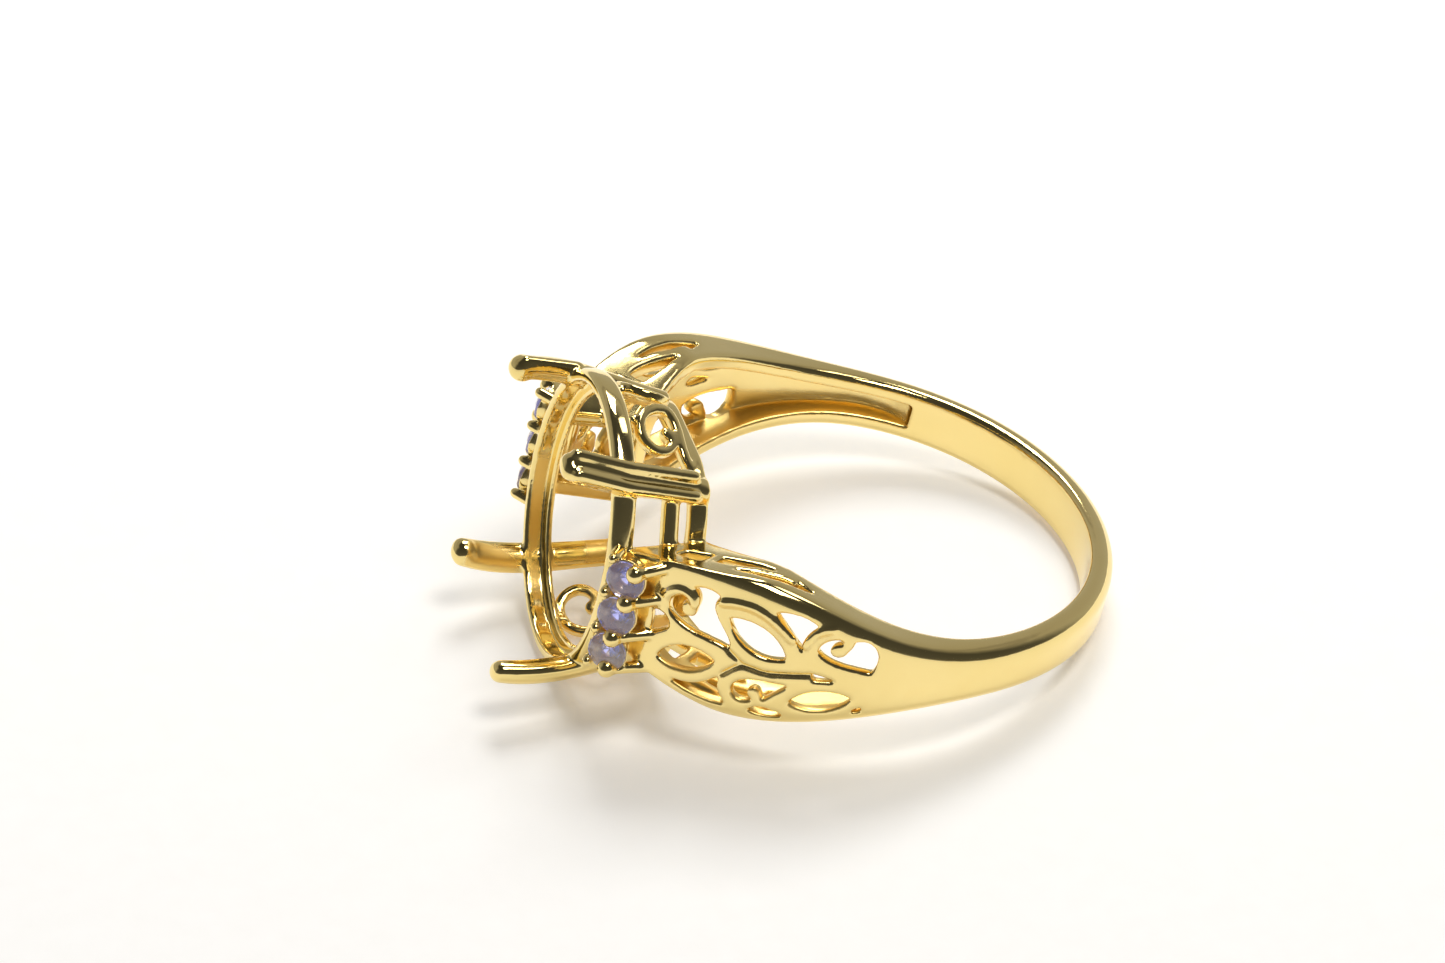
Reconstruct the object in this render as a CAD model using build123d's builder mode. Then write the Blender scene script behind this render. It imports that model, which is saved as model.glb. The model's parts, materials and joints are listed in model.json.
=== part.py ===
from build123d import *
import math
import os

os.makedirs("parts", exist_ok=True)

# A gold ring mount with an empty oval setting and three small tanzanites on each shoulder.
# It is drawn with X to the head, Y to the near side and Z along the finger, then laid at rest on the floor.
# Lengths are millimetres and angles are degrees from the head.

# Band and shoulders
finger_radius = 8.65
band_thickness = 0.9
band_half_width = 1.05
shoulder_depth = 2.2
shoulder_half_width = 3.02
plate_thickness = 0.4
wall_thickness = 0.58
outer_edge_round = 0.55
inner_edge_round = 0.22
channel_end = 119.0
channel_end_depth = 0.25

# Oval head, long along the finger
ring_top = 11.62
ring_height = 0.92
ring_half_short = 5.03
ring_half_long = 5.84
rim_thickness = 0.45
rim_depth = 0.7
ledge_width = 0.45
base_face = 7.7
base_height = 0.7
base_half_side = 4.1
base_corner = 2.8
rail_width = 0.6
ring_round = 0.3
rail_round = 0.15

# Four claws of the centre setting, each bent a little differently
claw_width = 1.12
claw_depth = 0.86
claw_side = 3.45
claw_end = 4.15
claw_base_side = 2.95
claw_base_end = 3.4
claw_reach = 2.5
claw_round = 0.36
claw_table = [
    # side, end, tip to the side, tip to the end, reach share
    (-1, 1, 1.00, 1.05, 0.90),
    (1, 1, 1.00, 1.13, 0.86),
    (-1, -1, 1.00, 0.96, 1.10),
    (1, -1, 1.02, 1.08, 1.16),
]

# Side rail in the open windows between the claws and the shoulders
side_rail_height = 9.15
side_rail_radius = 0.33

# Upper edge of a shoulder beside the head, where its side wall leans in, seen from the head
lean_end = 1.9
lean_fall = 0.067
lean_reach = 3.0
lean_line = [
    # across the ring, share of the way from the head's end of the wall to the full width
    (2.0, -0.53),
    (3.94, 0.0),
    (5.5, 0.42),
    (7.0, 0.78),
    (8.5, 1.02),
    (11.0, 1.2),
    (15.0, 1.3),
]

# Flat that takes the corner off the crest of a shoulder, where the leaning wall ends
crest_out = 5.7
crest_across = 6.75
crest_below = 0.27
crest_rise = 0.135
crest_fall = 0.05
crest_size = 4.5

# Scrolls in the two ends of the head, each on its own slanted plane
scroll_wire = 0.36
scroll_size = 0.78
scroll_side = 1.3
scroll_slope = 20.0
scroll_turn = 30.0
scroll_ball = 0.24
scroll_ends = [
    # end, height of the middle, distance of the middle along the finger
    (1, 9.5, 4.8),
    (-1, 9.68, 4.9),
]

# Small stones in a row on each shoulder
stone_width = 1.48
stone_pitch = 1.6
stone_gap = 0.03
row_drop = 0.28
row_beyond_ring = 0.73
row_below_top = 0.44
row_out = ring_half_short + row_beyond_ring
row_height = ring_top - row_below_top
row_lean = 50.0
arm_radius = 0.21
outer_claw_radius = 0.26
inner_bead_radius = 0.2

# Shape of the side: share of the way from the band to the full shoulder, at each angle
stations = [
    # angle, depth share, width share
    (27.0, 1.69, 0.80),
    (35.0, 1.42, 0.91),
    (50.0, 1.00, 1.00),
    (65.0, 0.68, 0.74),
    (80.0, 0.46, 0.33),
    (95.0, 0.24, 0.07),
    (115.0, 0.05, 0.0),
    (140.0, 0.0, 0.0),
    (180.0, 0.0, 0.0),
]


def depth_at(share):
    return band_thickness + share * (shoulder_depth - band_thickness)


def half_width_at(share):
    return band_half_width + share * (shoulder_half_width - band_half_width)


def polar(radius, angle):
    turn = math.radians(angle)
    return (radius * math.cos(turn), radius * math.sin(turn))


def outer_points(inset):
    near = [polar(finger_radius + depth_at(row[1]) - inset, row[0]) for row in stations]
    far = [(x, -y) for x, y in reversed(near[:-1])]
    return near + far


def width_points(inset):
    points = []
    for angle, depth_share, width_share in stations:
        x = polar(finger_radius + depth_at(depth_share), angle)[0]
        points.append((x, half_width_at(width_share) - inset))
    return points


# Where a shoulder meets the head, with some overlap so that the two are soldered into one
overlap = 0.2
joint_step = 0.6
head_end = ring_top - ring_height + overlap
joint_side = math.sqrt(finger_radius**2 - base_face**2)
joint_end = ring_half_short - rim_thickness - overlap


# Band and shoulders as one blank: its side outline, trimmed to its width
def width_outline(inset):
    points = width_points(inset)
    tail = -finger_radius - 2 * band_thickness
    with BuildSketch(Plane.XZ) as outline:
        with BuildLine():
            Spline(*points)
            Polyline(points[-1], (tail, points[-1][1]), (tail, -points[-1][1]), (points[-1][0], -points[-1][1]))
            Spline(*[(x, -z) for x, z in reversed(points)])
            Polyline((points[0][0], -points[0][1]), (ring_top, -points[0][1]), (ring_top, points[0][1]), points[0])
        make_face()
    return outline.sketch


def middle_radius(edge):
    middle = edge.position_at(0.5)
    return math.hypot(middle.X, middle.Y)


with BuildPart() as shank:
    with BuildSketch(Plane.XY):
        with BuildLine():
            rim_line = outer_points(0.0)
            Spline(*rim_line)
            Polyline(rim_line[-1], (head_end, -joint_end - joint_step), (head_end, -joint_end),
                     (base_face, -joint_side))
            ThreePointArc((base_face, -joint_side), (-finger_radius, 0), (base_face, joint_side))
            Polyline((base_face, joint_side), (head_end, joint_end), (head_end, joint_end + joint_step),
                     rim_line[0])
        make_face()
    extrude(amount=2 * shoulder_half_width, both=True)
    extrude(width_outline(0.0), amount=3 * finger_radius, both=True, mode=Mode.INTERSECT)
    long_edges = shank.edges().filter_by(lambda edge: edge.length > 15)
    side_edges = long_edges.filter_by(lambda edge: abs(edge.position_at(0.5).Z) > inner_edge_round)
    outer_edges = side_edges.filter_by(lambda edge: middle_radius(edge) > finger_radius + band_thickness / 2)
    fillet(outer_edges, outer_edge_round)
    long_edges = shank.edges().filter_by(lambda edge: edge.length > 15)
    inner_edges = long_edges.filter_by(lambda edge: middle_radius(edge) < finger_radius + inner_edge_round)
    fillet(inner_edges, inner_edge_round)

# The side walls lean in towards the head, more the nearer they come to it
lean_start = lean_end + lean_fall * lean_reach
lean_depth = shoulder_half_width - lean_end
with BuildPart() as upper_lean:
    with BuildSketch(Plane.YZ.offset(base_face - lean_reach)):
        with BuildLine():
            lean_points = [(across, lean_start + share * lean_depth) for across, share in lean_line]
            Spline(*lean_points)
            Polyline(lean_points[-1], (lean_points[-1][0], 3 * shoulder_half_width),
                     (lean_points[0][0], 3 * shoulder_half_width), lean_points[0])
        make_face()
    extrude(amount=finger_radius, dir=(1, 0, -lean_fall))
    with BuildSketch(Plane(origin=(crest_out, crest_across, shoulder_half_width - crest_below),
                           x_dir=(1, 0, crest_fall), z_dir=(-crest_fall, -crest_rise, 1))):
        Rectangle(crest_size, crest_size)
    extrude(amount=shoulder_half_width)
    mirror(about=Plane.XZ)
with BuildPart() as inner_lean:
    add(Location((0, 0, -wall_thickness)) * upper_lean.part)
    mirror(about=Plane.XY)

# Hollow behind the outer plate, open to the finger and to the inside of the head
open_radius = finger_radius - 0.5
open_start = 20.0
with BuildPart() as hollow:
    with BuildSketch(Plane.XY):
        with BuildLine():
            floor_line = [polar(finger_radius + depth_at(row[1]) - plate_thickness, row[0]) for row in stations]
            floor_line = floor_line[:-2] + [polar(finger_radius + channel_end_depth, channel_end)]
            Spline(*floor_line)
            Polyline(floor_line[-1], polar(open_radius, channel_end))
            ThreePointArc(polar(open_radius, channel_end), polar(open_radius, (channel_end + open_start) / 2),
                          polar(open_radius, open_start))
            Polyline(polar(open_radius, open_start), (ring_top, joint_end - joint_step),
                     (ring_top, floor_line[0][1]), floor_line[0])
        make_face()
    extrude(amount=2 * shoulder_half_width, both=True)
    extrude(width_outline(wall_thickness), amount=3 * finger_radius, both=True, mode=Mode.INTERSECT)
    mirror(about=Plane.XZ)
    add(inner_lean.part, mode=Mode.SUBTRACT)

# Long window and short window through both side walls of a shoulder, with an S bar left standing
window_rail = 0.55
window_plate = 0.8
window_tip = 60.0
window_head = 37.0
short_window_tail = 35.0
short_window_head = 29.5
bar_width = 0.38


def depth_between(angle):
    for lower, upper in zip(stations, stations[1:]):
        if lower[0] <= angle <= upper[0]:
            share = (angle - lower[0]) / (upper[0] - lower[0])
            return depth_at(lower[1] + share * (upper[1] - lower[1]))
    return depth_at(stations[0][1])


def wall_point(angle, share):
    inner = finger_radius + window_rail
    outer = finger_radius + depth_between(angle) - window_plate
    return polar(inner + share * (outer - inner), angle)


with BuildPart() as side_windows:
    with BuildSketch(Plane.XY):
        with BuildLine():
            Spline(wall_point(window_tip, 0.5), wall_point(50, 0.95), wall_point(window_head, 1.0))
            Line(wall_point(window_head, 1.0), wall_point(window_head, 0.25))
            Spline(wall_point(window_head, 0.25), wall_point(49, 0.0), wall_point(window_tip, 0.5))
        make_face()
        with BuildLine():
            Spline(wall_point(window_head, 0.85), wall_point(42, 0.75), wall_point(48, 0.4), wall_point(55, 0.2))
        trace(line_width=bar_width, mode=Mode.SUBTRACT)
        with BuildLine():
            Polyline(wall_point(short_window_tail, 0.3), wall_point(short_window_tail, 0.95),
                     wall_point(short_window_head, 0.85), wall_point(short_window_head, 0.5), close=True)
        make_face()
    extrude(amount=2 * shoulder_half_width, both=True)
    mirror(about=Plane.XZ)

# Leaves and scrolls cut through the outer plate, drawn on a plane that touches it
pattern_angle = 54.0
pattern_unit = 2.86
pattern_radius = finger_radius + shoulder_depth

# Two tips of a pointed leaf hole, and how far its sides bulge, as shares of the pattern unit
leaf_holes = [
    # tip along, tip up, other tip along, other tip up, bulge above, bulge below
    (-0.570, 0.423, 0.273, 0.066, 0.192, 0.205),
    (-1.388, -0.549, -0.601, -0.280, 0.192, 0.164),
    (0.406, -0.552, 1.161, -0.318, 0.147, 0.143),
]

# Curved three-cornered holes: each corner is followed by a point on the arc to the next corner
corner_holes = [
    # corner, by way of, corner, by way of, corner, by way of
    ((-0.02, 0.71), (0.28, 0.765), (0.57, 0.66), (0.47, 0.45), (0.44, 0.23), (0.24, 0.45)),
    ((-1.60, 0.06), (-1.47, 0.10), (-1.31, -0.08), (-1.44, -0.20), (-1.59, -0.33), (-1.555, -0.13)),
    ((-1.27, -0.74), (-0.84, -0.72), (-0.48, -0.39), (-0.50, -0.63), (-0.33, -0.84), (-0.80, -0.855)),
    ((-0.07, -0.82), (0.05, -0.735), (0.13, -0.72), (0.28, -0.73), (0.42, -0.77), (0.18, -0.84)),
    ((0.59, -0.04), (0.77, -0.06), (0.98, -0.11), (0.80, -0.125), (0.64, -0.155), (0.605, -0.10)),
    ((1.147, -0.54), (1.22, -0.46), (1.29, -0.416), (1.30, -0.45), (1.283, -0.497), (1.215, -0.525)),
]

# Openings that a scroll curls into: the pieces of the outline from corner to corner, then the curl
# from its root to its ball
curl_width = 0.125
curl_openings = [
    # outline pieces, curl, radius of its ball
    ([[(-1.12, 0.64), (-0.91, 0.71), (-0.72, 0.665)],
      [(-0.72, 0.665), (-0.79, 0.55), (-0.686, 0.33), (-0.475, -0.04)],
      [(-0.475, -0.04), (-0.90, 0.015), (-1.22, 0.08), (-1.37, 0.19), (-1.37, 0.36), (-1.25, 0.47), (-1.12, 0.64)]],
     [(-1.25, 0.60), (-1.06, 0.50), (-1.11, 0.31)], 0.105),
    ([[(0.385, -0.30), (0.25, -0.45), (0.10, -0.61)],
      [(0.10, -0.61), (-0.08, -0.68), (-0.21, -0.70), (-0.33, -0.58), (-0.27, -0.45), (-0.11, -0.365),
       (0.12, -0.325), (0.385, -0.30)]],
     [(0.06, -0.70), (0.03, -0.63), (-0.03, -0.55)], 0.085),
    ([[(0.60, 0.30), (0.65, 0.43), (0.79, 0.53), (0.99, 0.55), (1.18, 0.56), (1.31, 0.45), (1.345, 0.25),
       (1.30, 0.10)],
      [(1.30, 0.10), (1.05, 0.13), (0.80, 0.18), (0.60, 0.30)]],
     [(0.86, 0.64), (0.955, 0.50), (0.86, 0.37)], 0.10),
]


# The cut reaches a little behind the plate, and from the head to past the last opening
cut_behind = 0.06
cut_height = 2.6 * shoulder_depth
cut_start = 22.0
cut_end = 95.0


def on_plate(point):
    return (point[0] * pattern_unit, point[1] * pattern_unit)


touch = polar(pattern_radius, pattern_angle)
outward = polar(1.0, pattern_angle)
plate_plane = Plane(origin=(touch[0], touch[1], 0), x_dir=(-outward[1], outward[0], 0),
                    z_dir=(outward[0], outward[1], 0))

# What is cut from the outside of a shoulder's plate lies above its skin at that depth
def above_skin(depth):
    with BuildPart() as above:
        with BuildSketch(Plane.XY):
            with BuildLine():
                skin = [polar(finger_radius + depth_at(row[1]) - depth, row[0]) for row in stations[:6]]
                skin = [polar(finger_radius + depth_at(2.0) - depth, cut_start)] + skin
                far_skin = [polar(finger_radius + cut_height, angle)
                            for angle in (cut_end, (cut_start + cut_end) / 2, cut_start)]
                Spline(*skin)
                Line(skin[-1], far_skin[0])
                ThreePointArc(*far_skin)
                Line(far_skin[-1], skin[0])
            make_face()
        extrude(amount=2 * shoulder_half_width, both=True)
    return above.part


with BuildPart() as pattern:
    with BuildSketch(plate_plane.offset(shoulder_depth)):
        for outline, curl, ball in curl_openings:
            with BuildLine():
                for piece in outline:
                    Spline(*[on_plate(point) for point in piece])
            make_face()
            with BuildLine():
                Spline(*[on_plate(point) for point in curl])
            trace(line_width=curl_width * pattern_unit, mode=Mode.SUBTRACT)
            with Locations(on_plate(curl[-1])):
                Circle(ball * pattern_unit, mode=Mode.SUBTRACT)
        for tip_along, tip_up, end_along, end_up, above, below in leaf_holes:
            start = Vector(*on_plate((tip_along, tip_up)))
            end = Vector(*on_plate((end_along, end_up)))
            middle = (start + end) / 2
            aside = (end - start).rotate(Axis.Z, 90).normalized() * pattern_unit
            with BuildLine():
                ThreePointArc(start, middle + aside * above, end)
                ThreePointArc(end, middle - aside * below, start)
            make_face()
        for row in corner_holes:
            points = [on_plate(point) for point in row]
            with BuildLine():
                for k in (0, 2, 4):
                    ThreePointArc(points[k], points[k + 1], points[(k + 2) % 6])
            make_face()
    extrude(amount=-cut_height)
    add(above_skin(plate_thickness + cut_behind), mode=Mode.INTERSECT)
    add(pattern.part.rotate(Axis.X, 180))

# Shallow grooves that part a leaf from the scroll under it
groove_width = 0.17
groove_depth = 0.14
groove_lines = [
    [(-0.50, -0.44), (-0.39, -0.31), (-0.26, -0.195), (-0.05, -0.20), (0.28, -0.15), (0.62, -0.06)],
    [(-0.50, -0.035), (-0.37, -0.11), (-0.27, -0.18)],
]
with BuildPart() as grooves:
    with BuildSketch(plate_plane.offset(shoulder_depth)):
        for groove in groove_lines:
            with BuildLine():
                Spline(*[on_plate(point) for point in groove])
            trace(line_width=groove_width)
    extrude(amount=-cut_height)
    add(above_skin(groove_depth), mode=Mode.INTERSECT)
    add(grooves.part.rotate(Axis.X, 180))

with BuildPart() as pierced:
    add(shank.part)
    add(upper_lean.part, mode=Mode.SUBTRACT)
    add(mirror(upper_lean.part, about=Plane.XY, mode=Mode.PRIVATE), mode=Mode.SUBTRACT)
    add(hollow.part, mode=Mode.SUBTRACT)
    add(side_windows.part, mode=Mode.SUBTRACT)
    add(pattern.part, mode=Mode.SUBTRACT)
    add(grooves.part, mode=Mode.SUBTRACT)

# Head: seat ring with a ledge for the centre stone, and the base rail next to the finger
seat_ring_face = ring_top - ring_height
with BuildPart() as base_rail:
    with BuildSketch(Plane.YZ.offset(base_face)):
        RectangleRounded(2 * base_half_side, 2 * base_half_side, base_corner)
        RectangleRounded(2 * (base_half_side - rail_width), 2 * (base_half_side - rail_width),
                         base_corner - rail_width, mode=Mode.SUBTRACT)
    extrude(amount=base_height)
    fillet(base_rail.edges().filter_by(GeomType.LINE, reverse=True).filter_by(Plane.YZ), rail_round)
with BuildPart() as head:
    with BuildSketch(Plane.YZ.offset(seat_ring_face)):
        Ellipse(ring_half_short, ring_half_long)
    extrude(amount=ring_height)
    fillet(head.edges().filter_by(GeomType.ELLIPSE), ring_round)
    with BuildSketch(Plane.YZ.offset(seat_ring_face)):
        Ellipse(ring_half_short - rim_thickness - ledge_width, ring_half_long - rim_thickness - ledge_width)
    extrude(amount=ring_height, mode=Mode.SUBTRACT)
    with BuildSketch(Plane.YZ.offset(ring_top)):
        Ellipse(ring_half_short - rim_thickness, ring_half_long - rim_thickness)
    extrude(amount=-rim_depth, mode=Mode.SUBTRACT)
    add(base_rail.part)

# A claw runs from the base rail to its blunt tip, through oval sections
def claw_section(height, side, end, share):
    turn = math.atan2(end, side)
    plane = Plane(origin=(height, side, end), x_dir=(0, math.cos(turn), math.sin(turn)), z_dir=(1, 0, 0))
    with BuildSketch(plane) as section:
        Ellipse(claw_depth / 2 * share, claw_width / 2 * share)
    return section.sketch


with BuildPart() as claws:
    for side, end, tip_side, tip_end, reach in claw_table:
        middle = ring_top - ring_height / 2
        shoulder = ring_top + claw_reach * reach - claw_round
        tip = (side * claw_side * tip_side, end * claw_end * tip_end)
        loft([claw_section(base_face, side * claw_base_side, end * claw_base_end, 0.9),
              claw_section((base_face + middle) / 2, side * (claw_base_side + claw_side) / 2,
                           end * (claw_base_end + claw_end) / 2, 0.92),
              claw_section(middle, side * claw_side, end * claw_end, 1.0),
              claw_section(shoulder, tip[0], tip[1], 0.95)])
        loft([claw_section(shoulder + claw_round * rise, tip[0], tip[1], share)
              for rise, share in ((0.0, 0.95), (0.55, 0.84), (0.85, 0.62), (1.0, 0.35))])


def rod(start, end, radius):
    start, end = Vector(*start), Vector(*end)
    with Locations(Plane(origin=start, z_dir=end - start)):
        Cylinder(radius, (end - start).length, align=(Align.CENTER, Align.CENTER, Align.MIN))


with BuildPart() as side_rails:
    rod((side_rail_height, claw_base_side + overlap, claw_base_end),
        (side_rail_height, joint_side + overlap, lean_end - wall_thickness / 2), side_rail_radius)
    mirror(about=Plane.XZ)

# A pair of scrolls in each end of the head: a tail from the base rail, a loop and a curl with a ball
scroll_loop = [(-1.95, 1.25), (-1.15, -0.28), (-0.43, -1.30), (0.60, -1.02), (1.02, 0.07)]
scroll_curl = [(1.02, 0.07), (0.50, 0.82), (-0.42, 0.84), (-0.84, 0.20), (-0.50, -0.15)]

with BuildPart() as scrolls:
    for end, height, along in scroll_ends:
        slope = math.radians(scroll_slope)
        turn = math.radians(scroll_turn)
        scroll_plane = Plane(origin=(height, scroll_side, end * along), x_dir=(math.cos(slope), 0, end * math.sin(slope)),
                             z_dir=(-math.sin(slope) * math.cos(turn), math.sin(turn),
                                    end * math.cos(slope) * math.cos(turn)))
        with BuildSketch(scroll_plane):
            for path in (scroll_loop, scroll_curl):
                with BuildLine():
                    Spline(*[(x * scroll_size, end * y * scroll_size) for x, y in path])
                trace(line_width=scroll_wire)
            with Locations((scroll_curl[-1][0] * scroll_size, end * scroll_curl[-1][1] * scroll_size)):
                Circle(scroll_ball)
        extrude(amount=scroll_wire / 2, both=True)
        rod((height + 0.7 * scroll_size, scroll_side - 0.35, end * (along + 0.35)),
            (seat_ring_face + 0.2, scroll_side - 0.35, end * (along + 0.4)), scroll_wire / 2)
    mirror(about=Plane.XZ)


# Round brilliant: a girdle disc trimmed by rings of facets
girdle = 0.03 * stone_width
table_radius = 0.28 * stone_width
crown_height = 0.16 * stone_width
pavilion_depth = 0.44 * stone_width
facet_rings = [
    # count, first angle, slope, radius it passes, height it passes, 1 above or -1 below
    (8, 0.0, 34.5, table_radius * 1.06, crown_height, 1),
    (8, 22.5, 21.0, table_radius * 0.98, crown_height, 1),
    (16, 11.25, 41.0, 0.5 * stone_width, girdle, 1),
    (8, 0.0, 41.0, 0.5 * stone_width, -girdle, -1),
    (16, 11.25, 43.0, 0.5 * stone_width, -girdle, -1),
]
with BuildPart() as brilliant:
    with Locations((0, 0, (crown_height - pavilion_depth) / 2)):
        Cylinder(stone_width / 2, crown_height + pavilion_depth)
    for count, first, tilt, radius, height, side in facet_rings:
        for k in range(count):
            turn = math.radians(first + 360 / count * k)
            steep = math.radians(tilt)
            split(bisect_by=Plane(origin=(radius * math.cos(turn), radius * math.sin(turn), height),
                                  z_dir=(math.sin(steep) * math.cos(turn), math.sin(steep) * math.sin(turn),
                                         side * math.cos(steep))), keep=Keep.BOTTOM)


# Room for a stone in the metal, its collet, and the claws and beads that hold the row
with BuildPart() as stone_room:
    with BuildSketch(Plane.XZ):
        with BuildLine():
            edge = stone_width / 2 + stone_gap
            Polyline((0, -pavilion_depth - 2 * stone_gap), (edge, -girdle - stone_gap), (edge, girdle + stone_gap),
                     (table_radius + 2 * stone_gap, crown_height + stone_gap), (0, crown_height + stone_gap),
                     close=True)
        make_face()
    revolve(axis=Axis.Z)

collet_drop = 0.72
collet_wall = 0.09
with BuildPart() as collet:
    with Locations((0, 0, -collet_drop / 2 - girdle)):
        Cone(0.3 * stone_width, stone_width / 2 + collet_wall, collet_drop)

# Arms come from the plate and end in claws over the stones, beads stand at the ring: between two
# stones and past each end of the row
arm_foot_out = 1.4
arm_foot_depth = 0.95
arm_tip_height = 0.2
arm_table = [
    # foot along the row, tip along the row, tip out from the row
    (2.40, 2.12, 0.38),
    (0.95, 0.78, 0.30),
    (-0.60, -0.84, 0.12),
    (-2.10, -2.16, 0.20),
]
bead_places = [-2.28, -0.8, 0.8, 2.28]
inner_bead_out = 0.64
bead_rise = 0.06
lean = math.radians(row_lean)
row_plane = Plane(origin=(row_height, row_out, -row_drop), x_dir=(0, 0, 1),
                  z_dir=(math.cos(lean), math.sin(lean), 0))

with BuildPart() as holders:
    for foot_along, tip_along, tip_out in arm_table:
        foot = row_plane.from_local_coords(Vector(foot_along, -arm_foot_out, -arm_foot_depth))
        tip = row_plane.from_local_coords(Vector(tip_along, -tip_out, arm_tip_height))
        rod(foot, tip, arm_radius)
        with Locations(tip):
            Sphere(outer_claw_radius)
    with Locations(row_plane):
        with Locations([(place, inner_bead_out, (bead_rise - collet_drop) / 2) for place in bead_places]):
            Cylinder(inner_bead_radius, bead_rise + collet_drop)
        with Locations([(place, inner_bead_out, bead_rise) for place in bead_places]):
            Sphere(inner_bead_radius)

stone_spots = [row_plane * Location((place * stone_pitch, 0, 0)) for place in (1, 0, -1)]
with BuildPart() as rooms:
    for spot in stone_spots:
        add(spot * stone_room.part)
    with Locations(stone_spots):
        Cylinder(0.17 * stone_width, 4 * collet_drop)
with BuildPart() as row:
    add(holders.part)
    for spot in stone_spots:
        add(spot * collet.part)
    add(rooms.part, mode=Mode.SUBTRACT)

# The whole mount is one soldered piece; the far row is the near one turned over to the other side
to_far_side = Location((0, 0, -2 * row_drop), (180, 0, 0))
far_rooms = to_far_side * rooms.part
far_row = to_far_side * row.part
with BuildPart() as setting:
    add(head.part)
    add(claws.part)
    add(rooms.part, mode=Mode.SUBTRACT)
    add(far_rooms, mode=Mode.SUBTRACT)
with BuildPart() as ring_mount:
    add(pierced.part)
    add(rooms.part, mode=Mode.SUBTRACT)
    add(far_rooms, mode=Mode.SUBTRACT)
    add(row.part)
    add(far_row)
    add(setting.part)
    add(side_rails.part)
    add(scrolls.part)


# At rest the ring lies on the rounded back edge of the band and the rounded lower end of the seat ring
rest_long = seat_ring_face + ring_round + finger_radius + band_thickness - outer_edge_round
rest_rise = ring_half_long - ring_round - band_half_width + outer_edge_round
rest_lean = math.degrees(math.atan2(rest_rise, rest_long)
                         + math.asin((ring_round - outer_edge_round) / math.hypot(rest_long, rest_rise)))
laid = Location((0, 0, 0), (0, 0, 180)) * Location((0, 0, 0), (0, -rest_lean, 0))
box = (laid * ring_mount.part).bounding_box()
placed = Location((-box.center().X, -box.center().Y, -box.min.Z)) * laid

mount = placed * ring_mount.part
mount.label = "ring_mount"
export_step(mount, "parts/ring_mount.step")

near_stones = [spot * brilliant.part for spot in stone_spots]
far_stones = [to_far_side * stone for stone in near_stones]
for number, stone in enumerate(near_stones + far_stones, start=1):
    stone = placed * stone
    stone.label = f"tanzanite_{number}"
    export_step(stone, f"parts/tanzanite_{number}.step")
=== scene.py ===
import json
import math

import bpy
from mathutils import Matrix, Vector


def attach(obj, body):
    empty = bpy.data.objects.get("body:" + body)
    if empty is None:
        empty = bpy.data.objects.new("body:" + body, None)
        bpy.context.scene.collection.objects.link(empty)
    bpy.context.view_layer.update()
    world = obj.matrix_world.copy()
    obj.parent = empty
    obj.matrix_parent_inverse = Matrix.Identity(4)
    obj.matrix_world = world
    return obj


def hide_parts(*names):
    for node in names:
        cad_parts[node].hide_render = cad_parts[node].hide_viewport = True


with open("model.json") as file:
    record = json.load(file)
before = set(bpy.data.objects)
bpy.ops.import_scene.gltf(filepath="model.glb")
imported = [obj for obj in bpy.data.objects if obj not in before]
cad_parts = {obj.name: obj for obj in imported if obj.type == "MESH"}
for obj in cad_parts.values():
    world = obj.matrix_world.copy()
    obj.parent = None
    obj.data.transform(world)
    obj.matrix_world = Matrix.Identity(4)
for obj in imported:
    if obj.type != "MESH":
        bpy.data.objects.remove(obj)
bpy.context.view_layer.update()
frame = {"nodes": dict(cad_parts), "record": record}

# The mount: one casting of yellow gold plate over silver, with the band, the pierced shoulders, the oval
# seat, its four claws and the small holders of the side stones all soldered together and polished.
# Places on it are in millimetres from the middle of the finger hole: out to the head, near, along the finger.
MM = 0.001
mounts = {mount["name"]: mount for mount in frame["record"]["mounts"]}
finger_centre = Vector(mounts["finger_hole"]["pos_m"])
finger_axis = Vector(mounts["finger_hole"]["axis"]).normalized()
head_axis = Vector(mounts["stone_seat"]["axis"]).normalized()
near_axis = finger_axis.cross(head_axis).normalized()
ring_axes = (head_axis, near_axis, finger_axis)


def ring_point(out, near, along):
    return finger_centre + MM * (head_axis * out + near_axis * near + finger_axis * along)


class Shade:
    """A shader value that writes its own Math nodes."""

    def __init__(self, tree, socket):
        self.tree = tree
        self.socket = socket

    def math(self, operation, other, turned=False, clamp=False):
        node = self.tree.nodes.new("ShaderNodeMath")
        node.operation = operation
        node.use_clamp = clamp
        for place, value in enumerate((other, self) if turned else (self, other)):
            if isinstance(value, Shade):
                self.tree.links.new(value.socket, node.inputs[place])
            else:
                node.inputs[place].default_value = value
        return Shade(self.tree, node.outputs[0])

    def __add__(self, other):
        return self.math("ADD", other)

    def __radd__(self, other):
        return self.math("ADD", other, True)

    def __sub__(self, other):
        return self.math("SUBTRACT", other)

    def __rsub__(self, other):
        return self.math("SUBTRACT", other, True)

    def __mul__(self, other):
        return self.math("MULTIPLY", other)

    def __rmul__(self, other):
        return self.math("MULTIPLY", other, True)

    def larger(self, other):
        return self.math("MAXIMUM", other)

    def fade(self, none, full):
        """0 at the value none, 1 at the value full, straight between them and level beyond."""
        return (self - none).math("MULTIPLY", 1 / (full - none), clamp=True)


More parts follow.
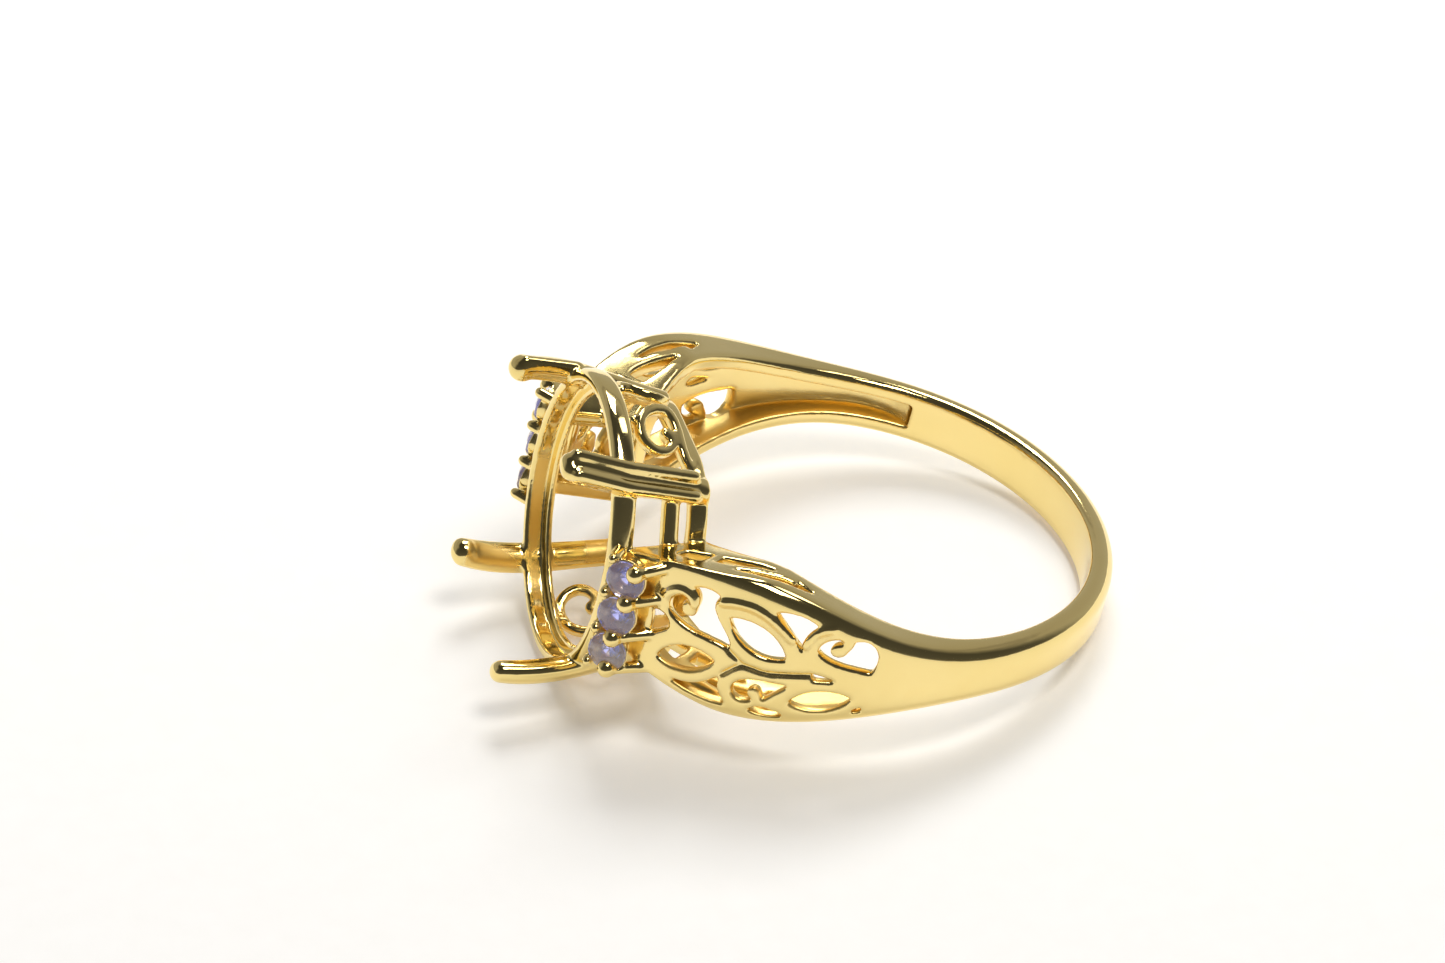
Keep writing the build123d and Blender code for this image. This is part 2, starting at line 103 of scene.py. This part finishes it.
class Nodes:
    """The node tree of a material or of the world, written node by node."""

    def __init__(self, holder):
        self.holder = holder
        holder.use_nodes = True
        self.tree = holder.node_tree
        self.tree.nodes.clear()

    def node(self, kind, settings=None, output=0, **inputs):
        made = self.tree.nodes.new("ShaderNode" + kind)
        for name, value in (settings or {}).items():
            if name == "stops":
                while len(made.color_ramp.elements) < len(value):
                    made.color_ramp.elements.new(0.5)
                for element, (place, colour) in zip(made.color_ramp.elements, value):
                    element.position = place
                    element.color = (*colour, 1.0)
            else:
                setattr(made, name, value)
        for name, value in inputs.items():
            socket = next(end for end in made.inputs if name in (end.identifier, end.name.replace(" ", "_")))
            if isinstance(value, Shade):
                self.tree.links.new(value.socket, socket)
            else:
                socket.default_value = value
        return Shade(self.tree, None if output is None else made.outputs[output])

    def dot(self, vector, axis):
        settings = {"operation": "DOT_PRODUCT"}
        return self.node("VectorMath", settings, output="Value", Vector=vector, Vector_001=axis)

    def show(self, surface, kind="Material"):
        self.node("Output" + kind, output=None, Surface=surface)
        return self.holder


# The gold is polished, apart from the inner faces of the hollow shoulders and the corners that little light
# reaches, which stay rougher as cast and take a deeper orange; in those corners the deeper orange is painted
# shade.
# The upper half of a hollow is smoother than the lower one.
hollow_radius = 8.8
shoulder_end = 9.5
upper_hollow_share = 0.45
corner_reach = 0.8
# The last tint, a deeper orange, goes on the rougher zones; in corners that little light reaches it is
# painted shade.
gold_and_shade_tints = [(0.3, (0.90, 0.71, 0.28)), (0.7, (0.95, 0.76, 0.33)), (1.0, (1.0, 0.73, 0.25))]
polished_roughness = 0.06
cast_roughness = 0.28
dent_depth = 0.03


def polished_gold():
    nodes = Nodes(bpy.data.materials.new("polished_gold"))
    place = nodes.node("TexCoord", output="Object")
    normal = nodes.node("TexCoord", output="Normal")
    out, near, along = ((nodes.dot(place, axis) - finger_centre.dot(axis)) * (1 / MM) for axis in ring_axes)
    out_face, near_face, along_face = (nodes.dot(normal, axis) for axis in ring_axes)
    radius = (out * out + near * near).math("POWER", 0.5)
    shoulder = out.fade(shoulder_end, shoulder_end - 0.25)
    lower_half = along.fade(0.0, -0.5)
    inward = (out * out_face + near * near_face).fade(0.0, -2.5)
    hollow = radius.fade(hollow_radius, hollow_radius + 0.2) * inward
    hollow = hollow * (shoulder * upper_hollow_share).larger(lower_half)
    lining = (along * along_face).fade(0.0, -0.5) * shoulder
    open_share = nodes.node("AmbientOcclusion", {"samples": 4}, output="AO", Distance=corner_reach * MM)
    cast_and_shaded = open_share.fade(0.75, 0.25).larger(hollow).larger(lining)
    cloud = nodes.node("TexNoise", Vector=place, Scale=260.0, Detail=2.0, Roughness=0.5)
    grain = nodes.node("TexNoise", Vector=place, Scale=6000.0, Detail=3.0, Roughness=0.6)
    wave = nodes.node("TexNoise", Vector=place, Scale=700.0, Detail=1.0, Roughness=0.5)
    # The colour runs to the deeper orange tint in the rougher zones; in corners that little light reaches
    # this is painted shade.
    colour = nodes.node("ValToRGB", {"stops": gold_and_shade_tints}, Fac=cloud * (1.0 - cast_and_shaded) + cast_and_shaded)
    height = wave * (0.7 + 0.9 * hollow) + grain * (0.05 + 0.35 * cast_and_shaded)
    bump = nodes.node("Bump", Strength=0.25, Distance=dent_depth * MM, Height=height)
    roughness = polished_roughness + 0.04 * cloud + cast_roughness * cast_and_shaded
    surface = nodes.node("BsdfPrincipled", Base_Color=colour, Metallic=1.0, Roughness=roughness,
                         Normal=bump)
    return nodes.show(surface)


# Small forms of the casting: the round tips of the two far claws and of the small claws, the double ridge of
# the near upper claw and the ridge of the far one, and the raised rims of two leaves and a curl.
far_tip_radius = 0.5
far_tips = [(13.42, -3.45, 4.36), (13.92, -3.45, -3.98)]
small_tip_radius = 0.34
small_tips = [(11.02, 6.16, 1.84), (11.08, 6.11, 0.50), (11.22, 5.99, -1.12), (11.16, 6.04, -2.44)]
row_drop = 0.28
claw_ridges = [
    # radius, points from the head to the claw's tip
    (0.24, [(8.35, 2.98, 4.06), (11.16, 3.39, 4.67), (13.25, 3.39, 5.17)]),
    (0.24, [(8.35, 3.56, 3.57), (11.16, 3.97, 4.18), (13.25, 3.97, 4.69)]),
    (0.22, [(11.3, -3.30, 4.55), (13.4, -3.30, 4.75)]),
]
rims = [
    # radius, points along the rim on the near shoulder: the long leaf, the leaf to its right and the curl
    (0.17, [(7.99, 7.59, 1.75), (7.66, 7.81, 1.90), (7.33, 8.03, 1.97), (6.97, 8.26, 1.98),
            (6.59, 8.47, 1.86), (6.21, 8.67, 1.65), (5.89, 8.82, 1.41), (5.55, 8.97, 1.12)]),
    (0.16, [(5.05, 9.18, 1.00), (4.97, 9.21, 1.35), (4.81, 9.27, 1.64), (4.54, 9.36, 1.86),
            (4.24, 9.42, 1.94)]),
    (0.16, [(9.63, 6.17, 1.06), (9.49, 6.31, 1.34), (9.30, 6.50, 1.53), (9.09, 6.70, 1.55),
            (8.89, 6.87, 1.41), (8.77, 6.98, 1.17)]),
]
rims += [(radius, [(out, -near, -along) for out, near, along in points]) for radius, points in rims]

# The solid is remade as one skin with its small forms, and its edges are rounded off as by polishing.
cast_voxel = 0.05 * MM
cast_faces = 190000
weld_reach = 0.001 * MM
plating_depth = 0.03 * MM
polish_rounds = 25
buff_rounds = 3


def ball(radius, point):
    bpy.ops.mesh.primitive_uv_sphere_add(radius=radius * MM, location=ring_point(*point))
    return bpy.context.object


def rod(radius, start, end):
    start, end = ring_point(*start), ring_point(*end)
    turn = (end - start).to_track_quat("Z", "Y").to_euler()
    bpy.ops.mesh.primitive_cylinder_add(radius=radius * MM, depth=(end - start).length,
                                        location=(start + end) / 2, rotation=turn)
    return bpy.context.object


def work(piece, kind, name, **settings):
    modifier = piece.modifiers.new(name, kind)
    for setting, value in settings.items():
        setattr(modifier, setting, value)
    bpy.ops.object.modifier_apply(modifier=name)


bpy.ops.object.select_all(action="DESELECT")
frame["nodes"]["ring_mount"].select_set(True)
bpy.context.view_layer.objects.active = frame["nodes"]["ring_mount"]
bpy.ops.object.duplicate()
cast = bpy.context.object
cast.name = "cast_mount"
added = [ball(far_tip_radius, tip) for tip in far_tips]
for out, near, along in small_tips:
    added.append(ball(small_tip_radius, (out, near, along)))
    added.append(ball(small_tip_radius, (out, -near, -along - 2 * row_drop)))
for radius, points in claw_ridges + rims:
    added += [ball(radius, point) for point in points]
for radius, points in claw_ridges + rims:
    added += [rod(radius, start, end) for start, end in zip(points, points[1:])]
for piece in added:
    piece.select_set(True)
cast.select_set(True)
bpy.context.view_layer.objects.active = cast
bpy.ops.object.join()
bpy.ops.object.mode_set(mode="EDIT")
bpy.ops.mesh.select_all(action="SELECT")
bpy.ops.mesh.remove_doubles(threshold=weld_reach)
bpy.ops.object.mode_set(mode="OBJECT")
work(cast, "REMESH", "solder", mode="VOXEL", voxel_size=cast_voxel)
work(cast, "DISPLACE", "plating", mid_level=0.0, strength=plating_depth)
work(cast, "SMOOTH", "polish", factor=0.5, iterations=polish_rounds)
work(cast, "DECIMATE", "thin", ratio=min(1.0, cast_faces / (2 * len(cast.data.polygons))))
work(cast, "SMOOTH", "buff", factor=0.5, iterations=buff_rounds)
bpy.ops.object.shade_smooth()
cast.data.materials.clear()
cast.data.materials.append(polished_gold())
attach(cast, "root")
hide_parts("ring_mount")

# The side stones: six small round brilliants of pale tanzanite, three in a row on each shoulder, cut with a
# table and facets above and below the girdle. Each is held by the small claws around it.
tanzanite_and_glow_tints = [(0.35, (0.46, 0.48, 1.0)), (0.65, (0.76, 0.78, 1.0))]


def pale_tanzanite():
    nodes = Nodes(bpy.data.materials.new("pale_tanzanite"))
    place = nodes.node("TexCoord", output="Object")
    zone = nodes.node("TexNoise", Vector=place, Scale=700.0, Detail=1.0)
    colour = nodes.node("ValToRGB", {"stops": tanzanite_and_glow_tints}, Fac=zone)
    # The emission paints a faint glow in the stones' own tints, standing in for light inside them.
    surface = nodes.node("BsdfPrincipled", Base_Color=colour, Roughness=0.02, IOR=1.69,
                         Transmission_Weight=0.92, Emission_Color=colour, Emission_Strength=0.08)
    return nodes.show(surface)


tanzanite = pale_tanzanite()
for name, stone in frame["nodes"].items():
    if name.startswith("tanzanite"):
        stone.data.materials.clear()
        stone.data.materials.append(tanzanite)

# The table: white card with the faintest tooth, far larger than the ring, so that none of its edges shows.
# It glows a little from within, a painted glow that lightens its shadows, brighter behind the ring than in
# front of it.
table_size = 3.0
tooth_depth = 0.05
card_tints = [(0.2, (0.88, 0.87, 0.85)), (0.8, (0.92, 0.915, 0.905))]
painted_glow_tints = [(0.0, (0.57, 0.555, 0.53)), (1.0, (1.0, 0.99, 0.97))]
glow_reach = 1 / 24


def white_card():
    nodes = Nodes(bpy.data.materials.new("white_card"))
    place = nodes.node("TexCoord", output="Object")
    tooth = nodes.node("TexNoise", Vector=place, Scale=900.0, Detail=4.0, Roughness=0.7)
    tone = nodes.node("ValToRGB", {"stops": card_tints}, Fac=tooth)
    behind = nodes.dot(place, Vector((0, 1, 0))).fade(-glow_reach, glow_reach)
    glow = nodes.node("ValToRGB", {"stops": painted_glow_tints}, Fac=behind)
    bump = nodes.node("Bump", Strength=0.1, Distance=tooth_depth * MM, Height=tooth)
    surface = nodes.node("BsdfPrincipled", Base_Color=tone, Roughness=0.7, Normal=bump,
                         Emission_Color=glow, Emission_Strength=0.3)
    return nodes.show(surface)


bpy.ops.object.select_all(action="DESELECT")
bpy.ops.mesh.primitive_plane_add(size=table_size, location=(0, 0, 0))
table = bpy.context.object
table.name = "white_table"
table.data.materials.append(white_card())

# Light: a grey room, pale behind the ring with a darker band, dark overhead and darkest on the near side,
# and three soft square lamps: a warm one high on the near right, a cool one behind, a weak one to the right.
back_wall = [(0.0, (0.42, 0.42, 0.42)), (0.53, (0.36, 0.35, 0.34)), (0.58, (0.25, 0.24, 0.23)),
             (0.66, (0.36, 0.35, 0.34)), (0.78, (0.22, 0.21, 0.20)), (0.83, (0.05, 0.05, 0.05))]
near_wall = [(0.0, (0.20, 0.20, 0.20)), (0.12, (0.08, 0.08, 0.08)), (1.0, (0.04, 0.04, 0.04))]
room = Nodes(bpy.data.worlds.new("grey_room"))
bpy.context.scene.world = room.holder
direction = room.node("TexCoord", output="Generated")
upward = room.dot(direction, Vector((0, 0, 1)))
backward = room.dot(direction, Vector((0, 1, 0)))
back_level = room.node("ValToRGB", {"stops": back_wall}, Fac=upward)
near_level = room.node("ValToRGB", {"stops": near_wall}, Fac=upward)
turned_back = room.node("MapRange", {"interpolation_type": "SMOOTHSTEP"}, Value=backward,
                        From_Min=-0.2, From_Max=0.3)
wall = room.node("Mix", {"data_type": "RGBA"}, output=2, Factor_Float=turned_back,
                 A_Color=near_level, B_Color=back_level)
room.show(room.node("Background", Color=wall, Strength=1.0), "World")

lamp_distance = 0.5
lamps = [
    # name, azimuth from straight behind and elevation in degrees, width in metres, watts, colour
    ("top_lamp", 145.0, 70.0, 0.16, 0.92, (1.0, 0.96, 0.90)),
    ("back_lamp", 22.0, 54.0, 0.2, 1.2, (0.98, 0.99, 1.0)),
    ("right_lamp", 75.0, 54.0, 0.12, 0.15, (1.0, 1.0, 1.0)),
]
for name, azimuth, elevation, width, watts, colour in lamps:
    turn, rise = math.radians(azimuth), math.radians(elevation)
    level = math.cos(rise)
    place = lamp_distance * Vector((math.sin(turn) * level, math.cos(turn) * level, math.sin(rise)))
    bpy.ops.object.light_add(type="AREA", location=place)
    light = bpy.context.object
    light.name = name
    light.data.shape = "SQUARE"
    light.data.size = width
    light.data.energy = watts
    light.data.color = colour
    light.rotation_euler = (-place).to_track_quat("-Z", "Y").to_euler()

# Camera: a long lens, seen from the near left and about 36 degrees above the table.
camera_azimuth = math.radians(-14.741)
camera_elevation = math.radians(36.344)
camera_roll = math.radians(-0.720)
camera_distance = 0.353
camera_aim = Vector((-1.598, 3.213, 4.049)) * MM
camera_turn = (Matrix.Rotation(camera_azimuth, 4, "Z")
               @ Matrix.Rotation(math.pi / 2 - camera_elevation, 4, "X")
               @ Matrix.Rotation(camera_roll, 4, "Z"))
camera_back = Matrix.Translation((0, 0, camera_distance))
bpy.ops.object.camera_add()
camera = bpy.context.object
camera.name = "photo_camera"
camera.matrix_world = Matrix.Translation(camera_aim) @ camera_turn @ camera_back
camera.data.sensor_width = 36.0
camera.data.lens = 234.2
camera.data.clip_start = 0.01
camera.data.clip_end = 10.0
bpy.context.scene.camera = camera
bpy.context.scene.view_settings.view_transform = "Standard"
